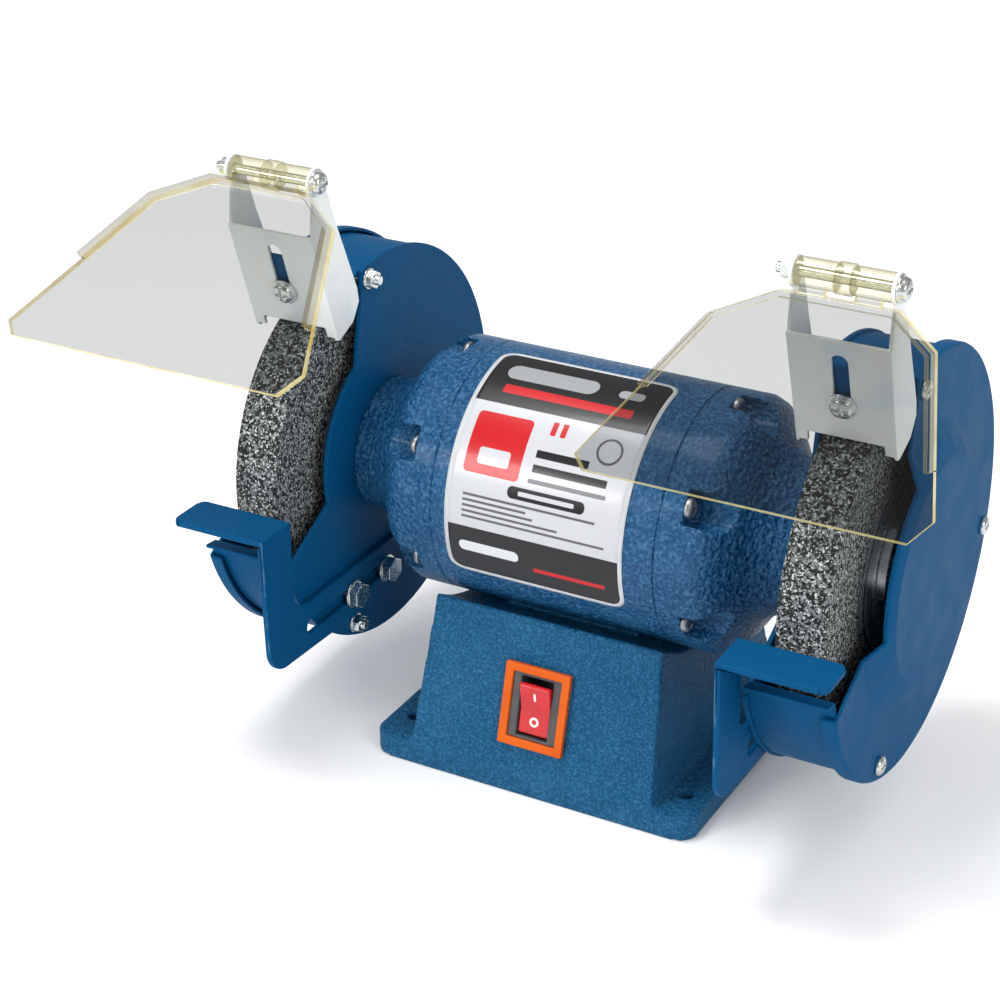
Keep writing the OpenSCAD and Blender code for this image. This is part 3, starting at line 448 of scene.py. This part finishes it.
printed_foil, tree, shader = finish_named("printed_foil", Specular_IOR_Level=0.35, Coat_Weight=0.2,
                                          Coat_Roughness=0.10)
at = put(tree, "UVMap", uv_map="print_at").outputs[0]
combed = put(tree, "Mapping", {"Vector": at, "Scale": (400.0, 12.0, 1.0)}).outputs[0]
brushed = put(tree, "TexNoise", {"Vector": combed, "Scale": 1.0}).outputs[0]
ink = blend_colour(tree, stretch(tree, brushed, 0.3, 0.7), (0.52, 0.54, 0.56), (0.70, 0.72, 0.74))
W, H = label_w * uv_per_m, label_h * uv_per_m
black, pale = (0.012, 0.012, 0.014), (0.51, 0.52, 0.55)
red_ink, grey_ink, silver_ink = (0.50, 0.006, 0.010), (0.10, 0.10, 0.11), (0.30, 0.31, 0.32)
rim = 0.018
prints = [  # across, down, half width, half height, corner, colour
    (W / 2, H / 2, W / 2 - rim, H / 2 - rim, 0.050, black),
    (W / 2, H * 0.535, W / 2 - rim, H * 0.245, 0.004, pale),
    (W * 0.36, H * 0.125, W * 0.255, H * 0.040, 0.042, silver_ink),
    (W * 0.50, H * 0.218, W * 0.36, H * 0.020, 0.006, red_ink),
    (W * 0.80, H * 0.125, W * 0.070, H * 0.022, 0.022, silver_ink),
    (W * 0.235, H * 0.405, 0.125, 0.080, 0.020, red_ink),
    (W * 0.235, H * 0.500, 0.125, 0.075, 0.020, red_ink),
    (W * 0.235, H * 0.500, 0.070, 0.034, 0.012, pale),
    (W * 0.505, H * 0.345, 0.012, 0.030, 0.004, red_ink),
    (W * 0.560, H * 0.345, 0.012, 0.030, 0.004, red_ink),
    (W * 0.83, H * 0.385, 0.056, 0.056, 0.056, grey_ink),
    (W * 0.83, H * 0.385, 0.046, 0.046, 0.046, pale),
    (W * 0.60, H * 0.450, W * 0.145, 0.016, 0.004, black),
    (W * 0.66, H * 0.505, W * 0.205, 0.016, 0.004, black),
    (W * 0.66, H * 0.553, W * 0.215, 0.009, 0.004, grey_ink),
    (W * 0.56, H * 0.608, W * 0.215, 0.025, 0.022, black),
    (W * 0.56, H * 0.608, W * 0.155, 0.009, 0.004, pale),
] + [(W * (0.10 + half), H * (0.652 + 0.0215 * k), W * half, 0.0052, 0.002, grey_ink)
     for k, half in enumerate((0.37, 0.18, 0.20, 0.27, 0.40))] + [
    (W * 0.25, H * 0.865, W * 0.17, 0.024, 0.022, (0.62, 0.64, 0.66)),
    (W * 0.70, H * 0.905, W * 0.20, 0.010, 0.004, red_ink),
]
for across_at, down_at, half_w, half_h, round_by, colour in prints:
    patch = use(tree, patch_group, At=at, Across=across_at, Down=down_at,
                Half_width=half_w, Half_height=half_h, Corner=round_by)
    ink = blend_colour(tree, patch["Mask"], ink, colour)
tree.links.new(ink, shader.inputs["Base Color"])
tree.links.new(stretch(tree, brushed, 0.2, 0.8, 0.26, 0.34), shader.inputs["Roughness"])
mesh.materials.append(printed_foil)
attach(foil, "frame")
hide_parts("front_label")

# ---------------------------------------------------------------------------
# Guards. Each wheel turns in a drum of pressed sheet: a plate screwed to the
# motor's nose, a rolled band and a dished cover. They get a smoother satin
# enamel than the castings, and long zinc screws hold them together.

guard_paint = enamelled("satin_enamel", colour=(0.0008, 0.062, 0.170), pale=(0.005, 0.100, 0.23),
                        pebbles=1000.0, gloss=0.42, depth=0.00015, shine=0.045)
sides = ("left_", "right_")
for side in sides:
    dress(side + "guard_plate", guard_paint, 0.0004)
    dress(side + "guard_band", guard_paint, 0.0003)
    dress(side + "guard_cover", guard_paint, 0.0004, 40.0)
    dress(side + "cover_screws", zinc, 0.0003)
    dress(side + "guard_screws", zinc, 0.0003)

# ---------------------------------------------------------------------------
# Wheels. Grey aluminium-oxide grain fired with a clay bond, so the face is
# rough and sparkles. Paper discs pad the sides where two turned steel flanges
# and an arbor nut clamp each wheel on the shaft.

abrasive, tree, shader = finish_named("fired_grain")
place = put(tree, "TexCoord").outputs["Object"]
cells = put(tree, "TexVoronoi", {"Vector": place, "Scale": 680.0})
fine = put(tree, "TexNoise", {"Vector": place, "Scale": 950.0, "Detail": 2.0, "Roughness": 0.6}).outputs[0]
pores = put(tree, "TexNoise", {"Vector": place, "Scale": 560.0, "Detail": 2.0, "Roughness": 0.6}).outputs[0]
shade = put(tree, "SeparateColor", {0: cells.outputs["Color"]}).outputs[0]
grain = blend_colour(tree, stretch(tree, shade, 0.30, 0.75), (0.010, 0.013, 0.014), (0.17, 0.185, 0.19))
grain = blend_colour(tree, stretch(tree, fine, 0.55, 0.61), grain, (0.60, 0.62, 0.62))
grain = blend_colour(tree, stretch(tree, pores, 0.42, 0.46, 0.95, 0.0), grain, (0.006, 0.007, 0.007))
tree.links.new(grain, shader.inputs["Base Color"])
tree.links.new(stretch(tree, shade, 0.75, 1.0, 0.85, 0.42), shader.inputs["Roughness"])
bumped(tree, shader, sums(tree, "ADD", fine, sums(tree, "MULTIPLY", shade, 0.7)), 0.0007)

disc_foil, tree, shader = finish_named("wheel_disc_foil", Metallic=0.75, Coat_Weight=0.3)


def past_axis(tree, coords, centre):
    """Where a point is from centre, and how far it is from the line through it along X."""
    at = coords.outputs["Object"]
    away = put(tree, "VectorMath", {0: at, 1: tuple(centre)}, operation="SUBTRACT").outputs[0]
    flat = put(tree, "VectorMath", {0: away, 1: (0, 1, 1)}, operation="MULTIPLY").outputs[0]
    return away, put(tree, "VectorMath", {0: flat}, operation="LENGTH").outputs["Value"]


rim_line_r, band_r = 0.0372, 0.0312
offset, reach = past_axis(tree, put(tree, "TexCoord"), (0, 0, shaft_z))
rim_line = near_line(tree, reach, rim_line_r, 0.0005, 0.0009)
band_line = near_line(tree, reach, band_r, 0.0026, 0.0029)
paper = put(tree, "TexNoise", {"Vector": offset, "Scale": 260.0, "Detail": 3.0}).outputs[0]
disc = blend_colour(tree, stretch(tree, paper, 0.3, 0.7), (0.60, 0.66, 0.72), (0.74, 0.78, 0.82))
disc = blend_colour(tree, sums(tree, "MULTIPLY", band_line, 0.55), disc, (0.25, 0.40, 0.58))
tree.links.new(blend_colour(tree, rim_line, disc, (0.10, 0.16, 0.26)), shader.inputs["Base Color"])
tree.links.new(stretch(tree, paper, 0.3, 0.7, 0.24, 0.36), shader.inputs["Roughness"])

for side in sides:
    dress(side + "wheel", abrasive, 0.0012, 40.0, 3)
    dress(side + "blotters", disc_foil, 0.0)
    dress(side + "inner_flange", steel, 0.0004)
    dress(side + "outer_flange", steel, 0.0004)
    dress(side + "arbor_nut", zinc, 0.0004)

# ---------------------------------------------------------------------------
# Tool rests. Folded steel sheet in the same satin enamel, with a table before
# the wheel and a slotted arm that two bolts clamp to the guard plate.

for side in sides:
    dress(side + "tool_rest", guard_paint, 0.0005, miter="MITER_SHARP")
    dress(side + "rest_bolts", zinc, 0.0003, miter="MITER_SHARP")

# ---------------------------------------------------------------------------
# Shield brackets. Bright zinc-plated sheet folded to a channel, with a slot for
# its screw and two ears for the hinge. The plating shows faint rainbow tints.

plated, tree, shader = finish_named("plated_sheet", Metallic=0.35)
place = put(tree, "TexCoord").outputs["Object"]
surface = use(tree, metal, Colour=(0.88, 0.91, 0.90), Cast=(0.90, 0.88, 0.80),
              Marks_per_m=160.0, Dullness=0.38)
film = put(tree, "TexNoise", {"Vector": place, "Scale": 28.0, "Detail": 2.0, "Distortion": 1.2}).outputs[0]
blue_film, straw_film = (0.60, 0.72, 0.80), (0.88, 0.76, 0.62)
tinted = blend_colour(tree, stretch(tree, film, 0.30, 0.48, 0.30, 0.0), surface["Colour"], blue_film)
tinted = blend_colour(tree, stretch(tree, film, 0.58, 0.72, 0.0, 0.22), tinted, straw_film)
tree.links.new(tinted, shader.inputs["Base Color"])
tree.links.new(surface["Roughness"], shader.inputs["Roughness"])
bumped(tree, shader, surface["Height"], 0.00001)
for side in sides:
    dress(side + "bracket", plated, 0.0004)
    dress(side + "bracket_screw", zinc, 0.0003)
    dress(side + "hinge_screw", zinc, 0.0003)

# ---------------------------------------------------------------------------
# Eye shields. Clear moulded sheets with a raised lip, hung on a barrel that a
# long screw passes through. The faces dim what lies behind them a little, and
# the cut edges gather light to a strong yellow.

sheet_tilts = {"left_": 49.0, "right_": 75.0}
barrel_r, barrel_faded = 0.0061, 0.0065
lip_rise, lip_full = 0.0052, 0.0058
pane_ior, edge_alpha = 1.45, 0.72
clear_dim, barrel_thin, barrel_thick = (0.745, 0.75, 0.75), (0.97, 0.96, 0.88), (0.30, 0.27, 0.12)
edge_dark, edge_bright, barrel_skin = (0.74, 0.55, 0.13), (0.90, 0.80, 0.38), (0.90, 0.86, 0.62)


def times(tree, one, two):
    """The product of two masks."""
    return sums(tree, "MULTIPLY", one, two)


def all_but(tree, share):
    """What is left of a whole after share."""
    return sums(tree, "SUBTRACT", 1.0, share)


def dotted(tree, vector, direction):
    """How far a vector goes along a fixed direction."""
    return put(tree, "VectorMath", {0: vector, 1: tuple(direction)}, operation="DOT_PRODUCT").outputs["Value"]


for side in sides:
    tilt = math.radians(sheet_tilts[side])
    sheet_normal = Vector((0, -math.sin(tilt), math.cos(tilt)))
    clear, tree, shader = finish_named(side + "clear_moulding")
    coords = put(tree, "TexCoord")
    from_hinge, reach = past_axis(tree, coords, middle(side + "hinge_screw"))
    on_barrel = stretch(tree, reach, barrel_r, barrel_faded, 1.0, 0.0)
    on_lip = stretch(tree, dotted(tree, from_hinge, sheet_normal), lip_rise, lip_full)
    facing = sums(tree, "ABSOLUTE", dotted(tree, coords.outputs["Normal"], sheet_normal))
    edge_share = times(tree, all_but(tree, on_barrel), all_but(tree, times(tree, on_lip, 0.7)))
    on_edge = times(tree, stretch(tree, facing, 0.70, 0.90, 1.0, 0.0), edge_share)

    streak = put(tree, "TexNoise", {"Vector": coords.outputs["Object"], "Scale": 70.0,
                                    "Detail": 3.0}).outputs[0]
    edge_colour = blend_colour(tree, stretch(tree, streak, 0.35, 0.65), edge_dark, edge_bright)
    tree.links.new(blend_colour(tree, on_barrel, edge_colour, barrel_skin), shader.inputs["Base Color"])
    tree.links.new(stretch(tree, streak, 0.3, 0.7, 0.10, 0.20), shader.inputs["Roughness"])
    shader.inputs["Alpha"].default_value = edge_alpha

    facing_away = put(tree, "LayerWeight", {"Blend": 0.5}).outputs["Facing"]
    barrel_tint = blend_colour(tree, sums(tree, "POWER", facing_away, 2.0), barrel_thin, barrel_thick)
    through = blend_colour(tree, on_barrel, clear_dim, barrel_tint)
    window = put(tree, "BsdfTransparent", {"Color": through})
    gloss = put(tree, "BsdfGlossy", {"Color": (1, 1, 1, 1), "Roughness": 0.04})
    from_outside = all_but(tree, put(tree, "NewGeometry").outputs["Backfacing"])
    glance = times(tree, put(tree, "Fresnel", {"IOR": pane_ior}).outputs[0], from_outside)
    pane = put(tree, "MixShader", {0: glance, 1: window.outputs[0], 2: gloss.outputs[0]})
    solid = sums(tree, "MAXIMUM", on_edge, times(tree, on_barrel, 0.12), clamp=True)
    joined = put(tree, "MixShader", {0: solid, 1: pane.outputs[0], 2: shader.outputs[0]})
    tree.links.new(joined.outputs[0], tree.nodes["Material Output"].inputs["Surface"])
    dress(side + "eye_shield", clear, 0.0004, 30.0)
    dress(side + "hinge_collar", clear, 0.0003, 30.0)

# ---------------------------------------------------------------------------
# Studio. The grinder stands on a pale table under broad soft lamps, seen from
# above its front right corner. Table and world look darker in reflections, so
# that bare metal keeps its contrast.

floor_mesh = bpy.data.meshes.new("table_top")
floor = bpy.data.objects.new("table_top", floor_mesh)
bpy.context.scene.collection.objects.link(floor)
ground = bmesh.new()
bmesh.ops.create_grid(ground, x_segments=8, y_segments=8, size=9.0)
ground.to_mesh(floor_mesh)
ground.free()
below_part = 0.0002
floor.location.z = cad_box[0][2] - below_part
floor_white, tree, shader = finish_named("table_white", Roughness=0.85)
haze = put(tree, "TexNoise", {"Vector": put(tree, "TexCoord").outputs["Object"], "Scale": 3.0}).outputs[0]
mirrored = put(tree, "LightPath").outputs["Is Glossy Ray"]
pale_table = blend_colour(tree, haze, (0.90, 0.90, 0.90), (0.93, 0.93, 0.93))
tree.links.new(blend_colour(tree, mirrored, pale_table, (0.66, 0.68, 0.69)), shader.inputs["Base Color"])
floor_mesh.materials.append(floor_white)

world = bpy.data.worlds.new("studio")
world.use_nodes = True
bpy.context.scene.world = world
tree = world.node_tree
sky = tree.nodes["Background"]
sky.inputs["Color"].default_value = (1.0, 1.0, 1.0, 1)
mirrored = put(tree, "LightPath").outputs["Is Glossy Ray"]
tree.links.new(stretch(tree, mirrored, 0.0, 1.0, 0.92, 0.30), sky.inputs["Strength"])

lamps_aim = Vector((0.0, 0.0, 0.12))


def lamp(name, place, power, size):
    """A soft round lamp; power is in watts, size in metres."""
    light = bpy.data.lights.new(name, "AREA")
    light.shape, light.size, light.energy = "DISK", size, power
    made = bpy.data.objects.new(name, light)
    bpy.context.scene.collection.objects.link(made)
    made.location = place
    made.rotation_mode = "QUATERNION"
    made.rotation_quaternion = (Vector(place) - lamps_aim).to_track_quat("Z", "Y")


lamp("key_lamp", (-0.84, -1.38, 0.78), 8.0, 0.5)
lamp("side_lamp", (1.30, -0.70, 0.90), 6.5, 0.8)
lamp("top_lamp", (-0.35, -0.15, 1.60), 13.0, 0.6)

turn, drop, lean = math.radians(29.09), math.radians(26.53), math.radians(-0.45)
forward = Vector((-math.sin(turn) * math.cos(drop), math.cos(turn) * math.cos(drop), -math.sin(drop)))
level = Vector((math.cos(turn), math.sin(turn), 0))
upright = level.cross(forward)
right = math.cos(lean) * level + math.sin(lean) * upright
top = math.cos(lean) * upright - math.sin(lean) * level
camera = bpy.data.objects.new("camera", bpy.data.cameras.new("camera"))
bpy.context.scene.collection.objects.link(camera)
camera.data.lens, camera.data.sensor_width = 85.75, 36.0
camera.data.clip_start, camera.data.clip_end = 0.05, 60.0
eye = (0.39456, -0.79355, 0.55157)
camera.matrix_world = Matrix((*zip(right, top, -forward, eye), (0, 0, 0, 1)))
bpy.context.scene.camera = camera
bpy.context.scene.view_settings.view_transform = "Standard"
